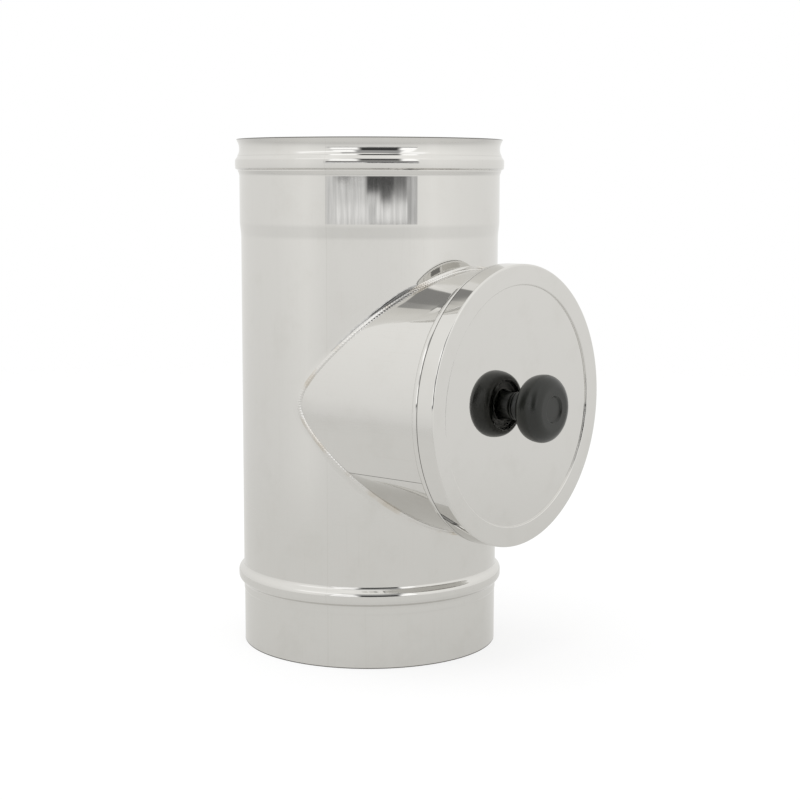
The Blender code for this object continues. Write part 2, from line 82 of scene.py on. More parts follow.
UPRIGHT = Matrix.Translation((PIPE_AXIS, 0.0, 0.0))
ALONG_X = Matrix.Rotation(math.radians(90.0), 4, "Y")
BRANCH = Matrix.Translation((PIPE_AXIS, 0.0, BRANCH_HEIGHT)) @ ALONG_X
CAP = Matrix.Translation((branch_high.x, 0.0, BRANCH_HEIGHT)) @ ALONG_X
print("tube axis at x =", round(PIPE_AXIS / MM, 2), "mm, branch axis at z =",
      round(BRANCH_HEIGHT / MM, 2), "mm")

# %% [markdown]
# ## Camera
# The photograph was taken from about a metre away, a little above the middle of the tee and
# looking slightly down. Its place, lens and small roll follow from the ellipses of the rims and
# the straight sides of the tube, and are set here as real lengths and angles.

# %% Set the camera
CAMERA_PLACE = Vector((0.61915, -0.7621, 0.2749))
CAMERA_LOOK = Vector((-0.62727, 0.76773, -0.13067))
CAMERA_ROLL = 0.0023
CAMERA_LENS = 75.9
SENSOR_WIDTH = 36.0

camera_data = bpy.data.cameras.new("photo_camera")
camera_data.lens = CAMERA_LENS
camera_data.sensor_width = SENSOR_WIDTH
camera_data.clip_start = 0.01
camera_data.clip_end = 50.0
camera = bpy.data.objects.new("photo_camera", camera_data)
bpy.context.scene.collection.objects.link(camera)
camera_turn = CAMERA_LOOK.to_track_quat("-Z", "Y").to_matrix().to_4x4()
camera.matrix_world = (
    Matrix.Translation(CAMERA_PLACE) @ camera_turn @ Matrix.Rotation(CAMERA_ROLL, 4, "Z")
)
bpy.context.scene.camera = camera
bpy.context.scene.view_settings.view_transform = "Standard"
print("camera stands", round((CAMERA_PLACE - Vector((0, 0, BRANCH_HEIGHT))).length, 3), "m away")

# %% [markdown]
# ## Shader maths as Python
# A finish is mostly arithmetic on coordinates. Wiring Math nodes by hand is slow to read, so one
# small class wraps a node's socket: `wave * 0.5 + 1` then adds the nodes itself. Every other
# node, such as a noise or a ramp, comes from its one method `node`.


# %% A socket that can be reckoned with
class Wire:
    """A node's output. Arithmetic on it adds Math nodes to the same tree."""

    def __init__(self, tree, socket=None):
        self.tree = tree
        self.socket = socket

    def node(self, kind, settings, values, output=0):
        """Adds any node: its settings first, then the values or links of its sockets."""
        added = self.tree.nodes.new(kind)
        stops = settings.get("stops", ())
        for name, value in settings.items():
            if name != "stops":
                setattr(added, name, value)
        for index, (place, colour) in enumerate(stops):
            ramp = added.color_ramp.elements
            stop = ramp[index] if index < len(ramp) else ramp.new(place)
            stop.position = place
            stop.color = colour
        for name, value in values.items():
            if isinstance(value, Wire):
                self.tree.links.new(value.socket, added.inputs[name])
            else:
                added.inputs[name].default_value = value
        return Wire(self.tree, added.outputs[output] if added.outputs else None)

    def maths(self, operation, *values):
        sockets = dict(enumerate(values))
        return self.node("ShaderNodeMath", {"operation": operation}, sockets)

    def __add__(self, other):
        return self.maths("ADD", self, other)

    def __radd__(self, other):
        return self.maths("ADD", other, self)

    def __sub__(self, other):
        return self.maths("SUBTRACT", self, other)

    def __rsub__(self, other):
        return self.maths("SUBTRACT", other, self)

    def __mul__(self, other):
        return self.maths("MULTIPLY", self, other)

    def __rmul__(self, other):
        return self.maths("MULTIPLY", other, self)

    def __truediv__(self, other):
        return self.maths("DIVIDE", self, other)

    def __abs__(self):
        return self.maths("ABSOLUTE", self)

    def step(self, low, high):
        """A soft step that is 0 at low and 1 at high. It falls where low is above high."""
        limits = {"Value": self, "From Min": low, "From Max": high}
        return self.node("ShaderNodeMapRange", {"interpolation_type": "SMOOTHSTEP"}, limits)

    def band(self, low, high, soft):
        """1 between two values, fading to 0 over a soft width on either side."""
        return self.step(low - soft, low + soft) * self.step(high + soft, high - soft)

    def between(self, low, high):
        """A number that goes from low to high as this wire goes from 0 to 1."""
        return self * (high - low) + low

    def mix(self, low, high):
        """A colour between two colours, with this wire as the factor."""
        settings = {"data_type": "RGBA", "clamp_factor": True}
        return self.node("ShaderNodeMix", settings, {0: self, 6: low, 7: high}, output=2)


# %% [markdown]
# ## Light tent
# Polished steel shows almost nothing of itself: what is seen is the room. The photograph was
# taken in a white tent, brightest overhead and darker towards the ground. On the camera's side
# the tent is open: two soft windows stand beside a dark room. A tent of cloth and lamps could be
# modelled, but here it is a world shader, a gradient with soft rectangular panels laid over it
# one after another. The camera sees plain white, diffuse light comes evenly from all round, and
# only reflections see the panels. Azimuth is counted in degrees from the camera, positive to its
# right, and elevation from the horizon. Each panel has its sides, heights, two softnesses and
# light. The socket's wall is upright and about level with the camera, so what it shows of the
# room is a strip of two degrees at the horizon. That is why many panels are so low.

# %% Build the tent
TENT_TURN = -math.atan2(CAMERA_PLACE.y, CAMERA_PLACE.x - PIPE_AXIS)
DIFFUSE_LEVEL = 1.0
WHITE = (1.0, 1.0, 1.0, 1.0)
TENT_HEIGHTS = (
    (-90.0, 0.60),
    (-45.0, 0.66),
    (-22.0, 0.74),
    (-15.0, 0.81),
    (-12.0, 0.85),
    (-3.0, 0.935),
    (0.0, 0.95),
    (45.0, 1.07),
    (90.0, 1.04),
)
TENT_SIDES = (
    (-180.0, 0.93),
    (-148.0, 0.93),
    (-88.0, 0.97),
    (-57.0, 1.04),
    (-34.0, 0.96),
    (-19.0, 0.97),
    (9.0, 0.97),
    (30.0, 0.99),
    (56.0, 1.07),
    (84.0, 1.01),
    (112.0, 0.975),
    (140.0, 0.96),
    (180.0, 0.93),
)
TENT_WARMTH = (1.0, 0.995, 0.975)
TENT_PANELS = (
    ((-75.0, -30.0), (34.0, 43.0), 5.0, 1.5, 1.35),
    ((30.0, 60.0), (39.0, 50.0), 5.0, 1.5, 1.30),
    ((-34.0, -10.0), (3.0, 43.0), 2.0, 1.2, 1.42),
    ((26.0, 41.0), (3.0, 43.0), 2.0, 1.2, 1.42),
    ((-36.0, -9.0), (16.0, 24.0), 2.0, 2.0, 0.80),
    ((-31.0, 33.0), (45.0, 52.0), 2.0, 1.0, 0.52),
    ((-14.0, 31.0), (26.0, 52.0), 3.0, 1.5, 0.42),
    ((-9.0, 26.0), (3.0, 28.0), 3.0, 2.0, 0.06),
    ((-37.0, 41.0), (0.0, 2.6), 1.0, 0.4, 0.25),
    ((-37.0, 41.0), (-1.85, 0.5), 1.0, 0.05, 0.78),
    ((-30.0, 35.0), (-1.60, -1.00), 2.0, 0.20, 0.94),
    ((-30.0, -28.5), (-1.90, 0.4), 0.8, 0.05, 0.66),
    ((-1.0, 5.0), (-1.60, -0.90), 1.5, 0.30, 0.64),
    ((-20.0, 0.0), (-1.76, -1.68), 2.0, 0.03, 0.74),
    ((0.0, 35.0), (-1.80, -1.67), 1.0, 0.03, 0.44),
    ((21.0, 34.0), (-0.86, 0.4), 2.5, 0.12, 0.40),
    ((-3.0, 22.0), (-0.66, 0.4), 2.0, 0.08, 0.07),
    ((9.0, 19.0), (-0.95, -0.40), 2.5, 0.10, 0.12),
    ((21.0, 31.0), (-0.55, 0.4), 2.0, 0.12, 0.20),
    ((32.5, 36.5), (-1.75, 0.4), 0.8, 0.05, 0.50),
    ((36.5, 38.5), (-1.75, 0.4), 0.6, 0.05, 0.62),
    ((38.5, 41.5), (-1.75, 0.4), 0.6, 0.05, 0.57),
    ((-38.5, -36.5), (-1.90, 0.4), 0.5, 0.05, 0.72),
    ((-28.0, -17.0), (-0.22, -0.06), 2.0, 0.04, 0.14),
    ((-31.0, 35.0), (-0.11, -0.03), 2.0, 0.02, 0.15),
    ((-19.0, -3.0), (-0.40, -0.33), 2.0, 0.04, 0.48),
)
OPENING_SIDES = (-37.0, 41.0)
OPENING_HEIGHTS = (-1.85, 0.5)
OPENING_SOFT = (1.0, 0.05)
STREAKS_PER_DEGREE = (0.4, 0.5)
STREAK_EDGES = (0.3, 0.7)
STREAK_DEPTH = 0.35


def height_share(elevation):
    """Where an elevation in degrees, a number or a wire, lies between nadir and zenith."""
    return (elevation + 90.0) / 180.0


def side_share(azimuth):
    """Where an azimuth in degrees, a number or a wire, lies in the turn round the tee."""
    return (azimuth + 180.0) / 360.0


def height_stop(elevation, light):
    return height_share(elevation), (*(light * share for share in TENT_WARMTH), 1.0)


def side_stop(azimuth, light):
    return side_share(azimuth), (light, light, light, 1.0)


world = bpy.data.worlds.new("light_tent")
bpy.context.scene.world = world
world.use_nodes = True
tent_tree = world.node_tree
tent_tree.nodes.clear()
tent = Wire(tent_tree)
direction = tent.node("ShaderNodeTexCoord", {}, {})
turned = tent.node("ShaderNodeMapping", {"vector_type": "POINT"},
                   {"Vector": direction, "Rotation": (0, 0, TENT_TURN)})
split = tent.node("ShaderNodeSeparateXYZ", {}, {0: turned})
ahead, across, up = (Wire(tent_tree, socket) for socket in split.socket.node.outputs)
DEGREES = 180.0 / math.pi
azimuth = tent.maths("ARCTAN2", across, ahead) * DEGREES
elevation = tent.maths("ARCSINE", up) * DEGREES
by_height = tent.node(
    "ShaderNodeValToRGB",
    {"stops": [height_stop(*stop) for stop in TENT_HEIGHTS]},
    {0: height_share(elevation)},
)
by_side = tent.node(
    "ShaderNodeValToRGB",
    {"stops": [side_stop(*stop) for stop in TENT_SIDES]},
    {0: side_share(azimuth)},
)
walls = tent.node("ShaderNodeVectorMath", {"operation": "MULTIPLY"}, {0: by_height, 1: by_side})
for sides, heights, side_soft, height_soft, light in TENT_PANELS:
    panel = azimuth.band(*sides, side_soft) * elevation.band(*heights, height_soft)
    walls = panel.mix(walls, (light, light, light, 1.0))
streak_place = tent.node("ShaderNodeCombineXYZ", {}, {
    0: azimuth * STREAKS_PER_DEGREE[0],
    1: elevation * STREAKS_PER_DEGREE[1],
})
streak_values = {"Vector": streak_place, "Scale": 1.0, "Detail": 4.0, "Roughness": 0.7}
streaks = tent.node("ShaderNodeTexNoise", {}, streak_values)
opening = (azimuth.band(*OPENING_SIDES, OPENING_SOFT[0])
           * elevation.band(*OPENING_HEIGHTS, OPENING_SOFT[1]))
shade = 1.0 + (streaks.step(*STREAK_EDGES) - 0.5) * opening * STREAK_DEPTH
walls = tent.node("ShaderNodeVectorMath", {"operation": "SCALE"}, {0: walls, 3: shade})
ray = tent.node("ShaderNodeLightPath", {}, {}).socket.node.outputs
even_light = (DIFFUSE_LEVEL, DIFFUSE_LEVEL, DIFFUSE_LEVEL, 1.0)
lit = Wire(tent_tree, ray["Is Diffuse Ray"]).mix(walls, even_light)
seen = Wire(tent_tree, ray["Is Camera Ray"]).mix(lit, WHITE)
background = tent.node("ShaderNodeBackground", {}, {"Color": seen})
tent.node("ShaderNodeOutputWorld", {}, {"Surface": background})
print("tent has", len(tent_tree.nodes), "nodes")

# %% [markdown]
# ## Floor and key light
# The tee stands on white card. The card is a diffuse disc that takes the tee's own soft shadow,
# and one large overhead lamp gives that shadow its place. Its rim fades out, or a dark horizon
# would stand in the polished wall. The camera sees the card nearly burnt out to white.
# Reflections see it a little darker and mostly even, with only a trace of the tee's shadow.

# %% Lay the floor and hang the lamp
OBJECT_SPACE = 3
FLOOR_RADIUS = 2.0
FLOOR_STEPS = 96
FLOOR_WHITE = (0.98, 0.98, 0.98, 1.0)
FLOOR_REFLECTED = (0.77, 0.765, 0.745, 1.0)
FLOOR_BURNT = 0.75
FLOOR_EVEN = 0.8
FLOOR_FADE = (0.9, 1.6)
MIRROR_FADE = (0.30, 0.80)
LAMP_PLACE = Vector((-0.1, -0.5, 2.2))
LAMP_SIZE = 1.6
LAMP_POWER = 12.0

shape = bmesh.new()
bmesh.ops.create_circle(shape, cap_ends=True, segments=FLOOR_STEPS, radius=FLOOR_RADIUS)
floor_mesh = bpy.data.meshes.new("white_card")
shape.to_mesh(floor_mesh)
shape.free()
floor = bpy.data.objects.new("white_card", floor_mesh)
bpy.context.scene.collection.objects.link(floor)

card = bpy.data.materials.new("white_card")
card.use_nodes = True
card.node_tree.nodes.clear()
card_wire = Wire(card.node_tree)
card_ray = card_wire.node("ShaderNodeLightPath", {}, {}).socket.node.outputs
mirrored = Wire(card.node_tree, card_ray["Is Glossy Ray"])
spot = card_wire.node("ShaderNodeTexCoord", {}, {}, output=OBJECT_SPACE)
away = card_wire.node("ShaderNodeVectorMath", {"operation": "LENGTH"}, {0: spot}, output=1)
card_colour = mirrored.mix(FLOOR_WHITE, FLOOR_REFLECTED)
matt = card_wire.node("ShaderNodeBsdfDiffuse", {}, {"Color": card_colour})
burnt_colour = mirrored.mix(WHITE, FLOOR_REFLECTED)
burnt = card_wire.node("ShaderNodeEmission", {}, {"Color": burnt_colour})
burning = Wire(card.node_tree, card_ray["Is Camera Ray"]) * FLOOR_BURNT + mirrored * FLOOR_EVEN
paper = card_wire.node("ShaderNodeMixShader", {}, {0: burning, 1: matt, 2: burnt})
gone = away.step(*MIRROR_FADE) * mirrored + away.step(*FLOOR_FADE) * (1.0 - mirrored)
clear = card_wire.node("ShaderNodeBsdfTransparent", {}, {})
card_surface = card_wire.node("ShaderNodeMixShader", {}, {0: gone, 1: paper, 2: clear})
card_wire.node("ShaderNodeOutputMaterial", {}, {"Surface": card_surface})
floor_mesh.materials.append(card)

lamp_data = bpy.data.lights.new("overhead_softbox", "AREA")
lamp_data.shape = "SQUARE"
lamp_data.size = LAMP_SIZE
lamp_data.energy = LAMP_POWER
lamp = bpy.data.objects.new("overhead_softbox", lamp_data)
lamp.location = LAMP_PLACE
lamp.rotation_euler = (-LAMP_PLACE).to_track_quat("-Z", "Y").to_euler()
lamp.visible_glossy = False
bpy.context.scene.collection.objects.link(lamp)
print("floor", 2 * FLOOR_RADIUS, "m across, lamp", LAMP_SIZE, "m square")

# %% [markdown]
# ## Outlines of turned and rolled work
# Nearly every piece here is round about one axis: rolled beads, flared lips, a spun knob. Each
# could be drawn point by point, but a designer gives corners and fillet radii, and lets the arcs
# follow. `rounded` turns such corners of (radius, height, fillet) into a smooth outline.

# %% Round the corners of an outline
ARC_STEP = math.radians(7.5)


def rounded(corners):
    points = []
    for index, (radius, height, fillet) in enumerate(corners):
        corner = Vector((radius, height))
        if fillet == 0 or index in (0, len(corners) - 1):
            points.append(corner)
            continue
        back = (Vector(corners[index - 1][:2]) - corner).normalized()
        ahead = (Vector(corners[index + 1][:2]) - corner).normalized()
        turn = math.pi - back.angle(ahead)
        centre = corner + (back + ahead).normalized() * fillet / math.cos(turn / 2)
        start = corner + back * fillet * math.tan(turn / 2) - centre
        end = corner + ahead * fillet * math.tan(turn / 2) - centre
        steps = max(2, math.ceil(turn / ARC_STEP))
        for step in range(steps + 1):
            share = step / steps
            arm = start * math.sin((1 - share) * turn) + end * math.sin(share * turn)
            points.append(centre + arm / math.sin(turn))
    return points


def ellipse_arc(centre, radius, height, start, end, steps):
    """Corners along a quarter ellipse, from one angle to another."""
    corners = []
    for step in range(steps + 1):
        angle = start + (end - start) * step / steps
        corners.append((centre[0] + radius * math.cos(angle),
                        centre[1] + height * math.sin(angle), 0))
    return corners


# %% [markdown]
# ## From an outline to a piece
# A lathe would turn the outline about its axis, and so does `bmesh.ops.spin`. The spin leaves
# the faces looking inward, so they are reversed, or the wall would grow on the wrong side. Sheet
# work is spun as one skin and given its wall by a Solidify modifier, with the outline as its
# outer face, which keeps the wall even round every bead. A Bevel takes the sharpness off the cut
# edges. Its clamping is off, because the shortest edge of a bead would shrink every bevel.
# Weighted Normal keeps flat and straight stretches optically true, which a mirror needs.

# %% Spin and finish pieces
EDGE_BREAK = 0.1 * MM
PIPE_STEPS = 288
EDGE_ANGLE = math.radians(50.0)
TOUCH = 0.001 * MM


def spun(corners, steps, place):
    """Spins an outline that lists its outer face from low to high, and puts it in place."""
    shape = bmesh.new()
    points = [shape.verts.new((point.x, 0.0, point.y)) for point in rounded(corners)]
    edges = [shape.edges.new(pair) for pair in zip(points, points[1:])]
    bmesh.ops.spin(
        shape,
        geom=points + edges,
        cent=(0.0, 0.0, 0.0),
        axis=(0.0, 0.0, 1.0),
        dvec=(0.0, 0.0, 0.0),
        angle=2 * math.pi,
        steps=steps,
        use_merge=True,
        use_duplicate=False,
    )
    bmesh.ops.remove_doubles(shape, verts=shape.verts, dist=TOUCH)
    bmesh.ops.reverse_faces(shape, faces=shape.faces)
    bmesh.ops.transform(shape, matrix=place, verts=shape.verts)
    return shape


def add_piece(name, shape, material, body, slot, *nodes):
    """Makes a finished bmesh into a piece that rides on a body and stands for CAD nodes."""
    mesh = bpy.data.meshes.new(name)
    shape.to_mesh(mesh)
    shape.free()
    mesh.materials.append(material)
    mesh.shade_smooth()
    mesh.set_sharp_from_angle(angle=EDGE_ANGLE)
    piece = bpy.data.objects.new(name, mesh)
    bpy.context.scene.collection.objects.link(piece)
    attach(piece, body)
    if nodes:
        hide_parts(*nodes)
    print(name, "has", len(mesh.polygons), "faces before its modifiers")
    return piece


def true_normals(piece):
    weighted = piece.modifiers.new("true_normals", "WEIGHTED_NORMAL")
    weighted.mode = "FACE_AREA"
    weighted.weight = 100
    weighted.keep_sharp = True


def make_sheet(piece):
    """Gives a skin its wall, breaks the cut edges and trues the normals."""
    wall = piece.modifiers.new("wall", "SOLIDIFY")
    wall.thickness = SHEET
    wall.offset = -1.0
    wall.use_even_offset = True
    break_edges = piece.modifiers.new("broken_edges", "BEVEL")
    break_edges.width = EDGE_BREAK
    break_edges.segments = 2
    break_edges.limit_method = "ANGLE"
    break_edges.angle_limit = EDGE_ANGLE
    break_edges.use_clamp_overlap = False
    true_normals(piece)


# %% [markdown]
# ## Polished stainless sheet
# The sheet is bright-annealed and polished, so its finish is nearly all reflection. What makes
# it read as thin metal and not as glass is small: rolling it into a tube leaves long shallow
# flats, handling leaves faint dull smudges, and polishing leaves hairlines. One function makes
# the finish for any direction of rolling, with heights in metres that feed a single Bump node.
# The sheared edges are unpolished, and their dark band is also painted shade at the rim and foot.

# %% Steel finish
STEEL_COLOUR = (0.70, 0.692, 0.672, 1.0)
STEEL_DULL = (0.66, 0.65, 0.625, 1.0)
# Dark colour: the unpolished seam, and painted shade at the cut edges.
UNPOLISHED_AND_SHADED_STEEL = (0.16, 0.155, 0.145, 1.0)
FLAT_WIDTH = 30 * MM
FLAT_STRETCH = 0.12
FLAT_HEIGHT = 0.012 * MM
HAIRLINE_WIDTH = 0.9 * MM
HAIRLINE_STRETCH = 0.02
HAIRLINE_HEIGHT = 0.00012 * MM
HAIRLINE_EDGES = (0.55, 0.8)
HAIRLINE_DULLNESS = 0.35
SMUDGE_SIZE = 22 * MM
SMUDGE_EDGES = (0.48, 0.75)
SMUDGE_DULLNESS = 0.5


def new_finish(name):
    """An empty material and a wire into its tree."""
    material = bpy.data.materials.new(name)
    material.use_nodes = True
    material.node_tree.nodes.clear()
    return material, Wire(material.node_tree)


def placed(wire, place, scale=(1.0, 1.0, 1.0)):
    """Object coordinates, moved and turned into a piece's own axes."""
    turn = place.inverted()
    coordinates = wire.node("ShaderNodeTexCoord", {}, {}, output=OBJECT_SPACE)
    own = wire.node("ShaderNodeMapping", {}, {
        "Vector": coordinates,
        "Location": turn.to_translation(),
        "Rotation": turn.to_euler(),
    })
    return wire.node("ShaderNodeMapping", {}, {"Vector": own, "Scale": scale})


def parts_of(wire, vector):
    """The X, Y and Z of a vector, as three wires."""
    split = wire.node("ShaderNodeSeparateXYZ", {}, {0: vector}).socket.node.outputs
    return [Wire(wire.tree, split[axis]) for axis in "XYZ"]


def noise(wire, vector, size, detail=2.0, roughness=0.5):
    """Soft noise about 0.5, whose lumps are about the given size."""
    values = {"Vector": vector, "Scale": 1.0 / size, "Detail": detail, "Roughness": roughness}
    return wire.node("ShaderNodeTexNoise", {}, values)


def close_finish(wire, surface, height):
    """Ends a material: Principled shader from the values, with one Bump node for its relief."""
    relief = wire.node("ShaderNodeBump", {}, {"Height": height, "Distance": 1.0, "Strength": 1.0})
    shader = wire.node("ShaderNodeBsdfPrincipled", {}, {**surface, "Normal": relief})
    wire.node("ShaderNodeOutputMaterial", {}, {"Surface": shader})


def steel_finish(name, place, roughness, flat_height=FLAT_HEIGHT, mark=None, unpolished_and_shaded=None):
    """Polished sheet rolled about the local Z of a place.

    A mark adds its own relief and dullness. The dark mask darkens what the polish left out, such as
    the seam, and paints shade at the cut edges.
    """
    material, wire = new_finish(name)
    along = placed(wire, place, (1.0, 1.0, FLAT_STRETCH))
    hair = placed(wire, place, (1.0, 1.0, HAIRLINE_STRETCH))
    even = placed(wire, place)
    flats = noise(wire, along, FLAT_WIDTH, detail=1.0)
    hairlines = noise(wire, hair, HAIRLINE_WIDTH, detail=3.0)
    smudges = noise(wire, even, SMUDGE_SIZE, detail=4.0, roughness=0.6).step(*SMUDGE_EDGES)
    dull = smudges * SMUDGE_DULLNESS + hairlines.step(*HAIRLINE_EDGES) * HAIRLINE_DULLNESS
    height = flats * flat_height + hairlines * HAIRLINE_HEIGHT
    if mark is not None:
        mark_height, mark_dull = mark(wire, even)
        height = height + mark_height
        dull = dull + mark_dull
    colour = dull.mix(STEEL_COLOUR, STEEL_DULL)
    # The dark mask paints the unpolished seam, and painted shade at the cut edges.
    if unpolished_and_shaded is not None:
        colour = unpolished_and_shaded(wire, even).mix(colour, UNPOLISHED_AND_SHADED_STEEL)
    surface = {
        "Base Color": colour,
        "Metallic": 1.0,
        "Roughness": dull * roughness + roughness,
    }
    close_finish(wire, surface, height)
    return material


# %% [markdown]
# ## Marks of the making
# Tube and branch were rolled from flat sheet and butt-welded along their length, then planished
# and polished over. All that is left is a hair-fine line: down the wall of the tube, a little to
# the left of the branch, and under the branch, where it stayed dark. The tube's wall also swells
# a little just outside the saddle, where it was drawn up to the weld, and the mirror shows that
# as a dark line with a bright one beside it. These are marks in the finish, and not pieces,
# because each is part of its tube.

# %% Marks and the steel finishes
TUBE_SEAM_TURN = math.radians(-68.0)
BRANCH_SEAM_TURN = math.radians(-60.5)
SEAM_HALF_WIDTH = 0.35 * MM
SEAM_FADE = (10.0 * MM, 22.0 * MM)
SEAM_DEPTH = 0.004 * MM
SEAM_DULLNESS = 0.8
PIPE_ROUGHNESS = 0.035
SLEEVE_ROUGHNESS = 0.06
PULL_WIDTH = 4.2 * MM
PULL_HEIGHT = 0.24 * MM
PULL_WAVER = 12.0 * MM
PULL_STRENGTH = (0.75, 1.25)
# A dark band at the cut edges: unpolished edge and painted shade.
DARK_EDGE_WIDTH = 0.62 * MM
DARK_EDGE_SHARP = 0.45 * MM


def seam_line(wire, own, turn):
    """1 on a fine line where the local azimuth is the seam's."""
    turned_own = wire.node("ShaderNodeVectorRotate", {"rotation_type": "Z_AXIS"},
                           {"Vector": own, "Angle": -turn})
    outward, sideways, _ = parts_of(wire, turned_own)
    return abs(sideways).step(SEAM_HALF_WIDTH, 0.0) * outward.step(0.0, SHEET)


def pulled_wall(wire, own):
    """The wall's swell towards the branch. It lies along the saddle's flanks, not at its crowns."""
    forward, _, along = parts_of(wire, own)
    height = along - BRANCH_HEIGHT
    reach = wire.maths("SQRT", height * height + SADDLE_NOSE**2)
    gap = (reach - forward) * math.cos(math.pi / 4)
    lift = wire.maths("MAXIMUM", 1.0 - gap / PULL_WIDTH, 0.0)
    waver = noise(wire, own, PULL_WAVER, detail=1.0).between(*PULL_STRENGTH)
    flank = abs(height).step(BRANCH_RADIUS - PULL_WIDTH, BRANCH_RADIUS - 3 * PULL_WIDTH)
    return lift * lift * waver * flank * PULL_HEIGHT


def tube_marks(wire, own):
    line = seam_line(wire, own, TUBE_SEAM_TURN)
    return line * -SEAM_DEPTH + pulled_wall(wire, own), line * SEAM_DULLNESS


def shaded_cut_edges(wire, own):
    """1 at the sheared edges of the tube, above and below: unpolished, and painted shade at the rim
    and foot.
    """
    height = parts_of(wire, own)[2]
    above = height.step(TEE_HEIGHT - DARK_EDGE_WIDTH, TEE_HEIGHT - DARK_EDGE_SHARP)
    below = height.step(DARK_EDGE_WIDTH, DARK_EDGE_SHARP)
    return above + below


def branch_seam(wire, own):
    """The branch's seam, left a little dark under the branch and dying out before its bead."""
    along = parts_of(wire, own)[2]
    return seam_line(wire, own, BRANCH_SEAM_TURN) * (BRANCH_REACH - along).step(*SEAM_FADE)


# The tube's dark cut edges are painted shade at its rim and foot.
tube_steel = steel_finish("polished_tube_steel", UPRIGHT, PIPE_ROUGHNESS, mark=tube_marks,
                          unpolished_and_shaded=shaded_cut_edges)
branch_steel = steel_finish("polished_branch_steel", BRANCH, PIPE_ROUGHNESS, unpolished_and_shaded=branch_seam)
sleeve_steel = steel_finish("polished_sleeve_steel", CAP, SLEEVE_ROUGHNESS)
print("steel finishes:", [m.name for m in bpy.data.materials if "steel" in m.name])

# %% [markdown]
# ## Upright tube
# The real tube is one rolled sheet: a plain spigot below, a rolled stop bead that sets how far
# it goes into the next pipe, and above the branch a widened socket with a seal bead and a flared
# lip. The socket's bead was pressed by a pair of rolls that left a small land on either side of
# its crowned crest, and the mirror shows each of them. The tube's whole outer face is one outline
# from the bottom edge to the rim, so it is spun in one go, and the saddle hole is cut afterwards.

# %% Outline of the tube
SPIGOT_LENGTH = 31.0 * MM
SPIGOT_RELIEF = 0.3 * MM
SHOULDER_RUN = 0.5 * MM
SHOULDER_FILLET = 1.0 * MM
STOP_BEAD_HEIGHT = 40.9 * MM
STOP_BEAD_FOOT = 10.4 * MM
STOP_BEAD_CREST = 5.2 * MM
STOP_BEAD_RISE = 3.05 * MM
STOP_BEAD_FOOT_FILLET = 2.8 * MM
STOP_BEAD_CREST_FILLET = 3.4 * MM
SOCKET_DEPTH = 52.0 * MM
SOCKET_SWELL = 0.75 * MM
SOCKET_STEP_RUN = 7.0 * MM
SOCKET_STEP_FILLET = 20.0 * MM
SOCKET_BEAD_DEPTH = 14.3 * MM
SOCKET_BEAD_SECTION = (
    (0.00 * MM, -6.30 * MM, 4.0 * MM),
    (0.85 * MM, -4.20 * MM, 0.3 * MM),
    (0.86 * MM, -3.55 * MM, 0.3 * MM),
    (2.32 * MM, -2.75 * MM, 0.6 * MM),
    (2.54 * MM, 0.15 * MM, 20.0 * MM),
    (2.42 * MM, 2.30 * MM, 1.6 * MM),
    (1.02 * MM, 4.25 * MM, 0.3 * MM),
    (1.00 * MM, 4.85 * MM, 0.3 * MM),
    (0.00 * MM, 6.80 * MM, 6.0 * MM),
)
SEAL_GROOVE_CREST = 5.5 * MM
SEAL_GROOVE_LOWER_RUN = 1.9 * MM
SEAL_GROOVE_UPPER_RUN = 3.2 * MM
SEAL_GROOVE_RISE = 2.55 * MM
SEAL_GROOVE_FILLET = 1.3 * MM
LIP_LENGTH = 3.6 * MM
LIP_FLARE = 1.65 * MM
LIP_FILLET = 3.0 * MM
SOCKET_LIP_FILLET = 8.0 * MM
SOCKET_RADIUS = TUBE_RADIUS + SOCKET_SWELL


def bead_corners(wall, middle, foot, crest, rise, foot_fillet, crest_fillet):
    """A rolled bead that stands out from a wall."""
    return [
        (wall, middle - foot / 2, foot_fillet),
        (wall + rise, middle - crest / 2, crest_fillet),
        (wall + rise, middle + crest / 2, crest_fillet),
        (wall, middle + foot / 2, foot_fillet),
    ]


def socket_bead_corners():
    """The seal bead of the socket: a crowned crest with a small land on either side of it."""
    middle = TEE_HEIGHT - SOCKET_BEAD_DEPTH
    return [(SOCKET_RADIUS + rise, middle + height, fillet)
            for rise, height, fillet in SOCKET_BEAD_SECTION]


def socket_groove_corners():
    """The plainer groove inside the socket's bead, steep below and gentle above."""
    low = TEE_HEIGHT - SOCKET_BEAD_DEPTH - SEAL_GROOVE_CREST / 2
    high = low + SEAL_GROOVE_CREST
    crest = SOCKET_RADIUS + SEAL_GROOVE_RISE
    return [
        (SOCKET_RADIUS, low - SEAL_GROOVE_LOWER_RUN, SEAL_GROOVE_FILLET),
        (crest, low, SEAL_GROOVE_FILLET),
        (crest, high, SEAL_GROOVE_FILLET),
        (SOCKET_RADIUS, high + SEAL_GROOVE_UPPER_RUN, SEAL_GROOVE_FILLET),
    ]


def lip_corners(wall, rim, fillet):
    """A flared lip. Its cut edge is square to the sheet, so the inner corner is the highest."""
    drop = SHEET * math.sin(math.atan2(LIP_FLARE, LIP_LENGTH))
    return [
        (wall, rim - LIP_LENGTH, fillet),
        (wall + LIP_FLARE, rim - drop, 0),
    ]


